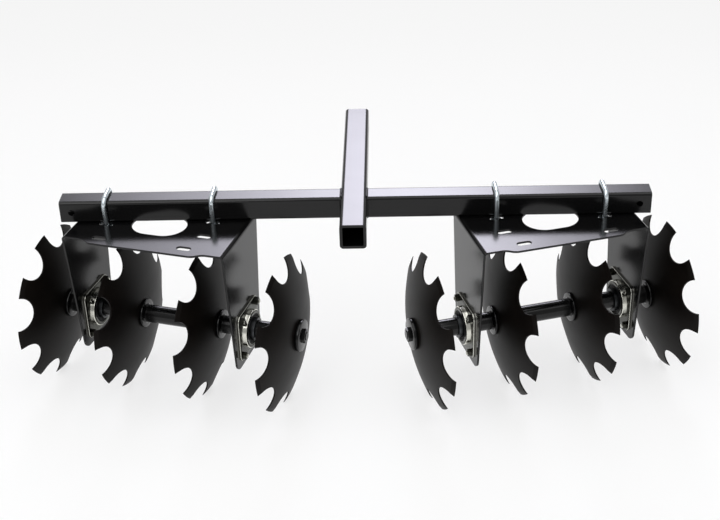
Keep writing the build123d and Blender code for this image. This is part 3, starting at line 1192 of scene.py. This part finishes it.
@dataclass(frozen=True)
class Studio:
    """A pale floor under soft light, and the camera: metres, and degrees for its angles."""

    floor_size: float = 60.0
    floor_colour: str = "fafafa"
    floor_glow: float = 0.7
    world_strength: float = 0.45
    cool: str = "f3f1ff"
    camera_place: tuple[float, float, float] = (0.08774, -2.73168, 1.85896)
    heading: float = 1.7023
    dip: float = 30.4753
    roll: float = -1.7369
    lens: float = 68.17
    sensor: float = 36.0

    def lamps(self) -> list[SoftBox]:
        """The lamps: two gridded boxes ahead of the harrow, and two broad fills."""
        return [
            SoftBox("bank_left", place=(-0.35, 3.6, 2.45), aim=(-0.1, 0.0, 0.42),
                    size=(3.4, 2.2), power=3.1, colour=self.cool, spread=24.0),
            SoftBox("bank_right", place=(0.25, 3.6, 2.45), aim=(0.06, 0.0, 0.42),
                    size=(3.4, 2.2), power=2.2, colour=self.cool, spread=19.0),
            SoftBox("fill_rear", place=(-1.6, -3.4, 3.6), aim=(0.0, 0.0, 0.2),
                    size=(2.5, 2.0), power=40.0),
            SoftBox("overhead", place=(0.0, -0.4, 4.4), aim=(0.0, -0.1, 0.0),
                    size=(6.0, 5.0), power=120.0),
        ]

    def background_rays(self, tree: NodeTree) -> NodeSocket:
        """Tell the rays that see the background, straight or mirrored, from the others.

        Args:
            tree: The node tree that needs to know.

        Returns:
            A socket that is 1 for camera, glossy and transmission rays, and 0 for the rest.
        """
        path = add_node(tree, "ShaderNodeLightPath")
        seen = path.outputs["Is Camera Ray"]
        for kind in ("Is Glossy Ray", "Is Transmission Ray"):
            seen = add_node(tree, "ShaderNodeMath", {"operation": "MAXIMUM"},
                            {0: seen, 1: path.outputs[kind]}).outputs[0]
        return seen

    def make_floor(self) -> None:
        """The floor: it glows a little to the eye, so that the harrow's shadow stays faint."""
        start_fresh()
        bpy.ops.mesh.primitive_plane_add(size=self.floor_size)
        floor = bpy.context.object
        floor.name = "floor"
        surface = Surface("studio_floor")
        tree = surface.tree
        share = add_node(tree, "ShaderNodeMapRange", {"To Max": self.floor_glow},
                         {"Value": self.background_rays(tree)})
        paper = add_node(tree, "ShaderNodeBsdfDiffuse", {"Color": linear(self.floor_colour)})
        glow = add_node(tree, "ShaderNodeEmission", {"Color": linear("ffffff"), "Strength": 1.0})
        mixed = add_node(tree, "ShaderNodeMixShader", None,
                         {0: share.outputs[0], 1: paper.outputs[0], 2: glow.outputs[0]})
        add_node(tree, "ShaderNodeOutputMaterial", None, {"Surface": mixed.outputs[0]})
        floor.data.materials.append(surface.material)

    def make_world(self) -> None:
        """A plain pale room, the same for every kind of ray."""
        world = bpy.data.worlds.new("studio")
        bpy.context.scene.world = world
        world.use_nodes = True
        tree = world.node_tree
        tree.nodes.clear()
        light = add_node(tree, "ShaderNodeBackground", {"Color": linear("ffffff"),
                         "Strength": self.world_strength})
        add_node(tree, "ShaderNodeOutputWorld", None, {"Surface": light.outputs[0]})

    def make_camera(self) -> None:
        """The camera, behind the harrow and above it."""
        data = bpy.data.cameras.new("camera")
        data.lens = self.lens
        data.sensor_width = self.sensor
        camera = bpy.data.objects.new("camera", data)
        bpy.context.scene.collection.objects.link(camera)
        turn = (Matrix.Rotation(radians(self.heading), 4, "Z")
                @ Matrix.Rotation(radians(90 - self.dip), 4, "X")
                @ Matrix.Rotation(radians(self.roll), 4, "Z"))
        camera.matrix_world = Matrix.Translation(self.camera_place) @ turn
        bpy.context.scene.camera = camera

    def build(self) -> None:
        """Set up the whole studio."""
        bpy.context.scene.view_settings.view_transform = "Standard"
        self.make_camera()
        self.make_world()
        self.make_floor()
        for lamp in self.lamps():
            lamp.make()


def main() -> None:
    """Build the harrow's looks and the studio."""
    logging.basicConfig(level=logging.INFO, format="%(name)s: %(message)s")
    Studio().build()
    finishes = Finishes()
    finishes.dress_frame()
    FlangeBearing(finishes).build()
    GangHardware(finishes).build()
    hardware = ToolbarHardware(finishes)
    hardware.build_u_bolts()
    hardware.build_welds()
    RoundedBrackets(finishes).build()


if __name__ == "__main__":
    main()
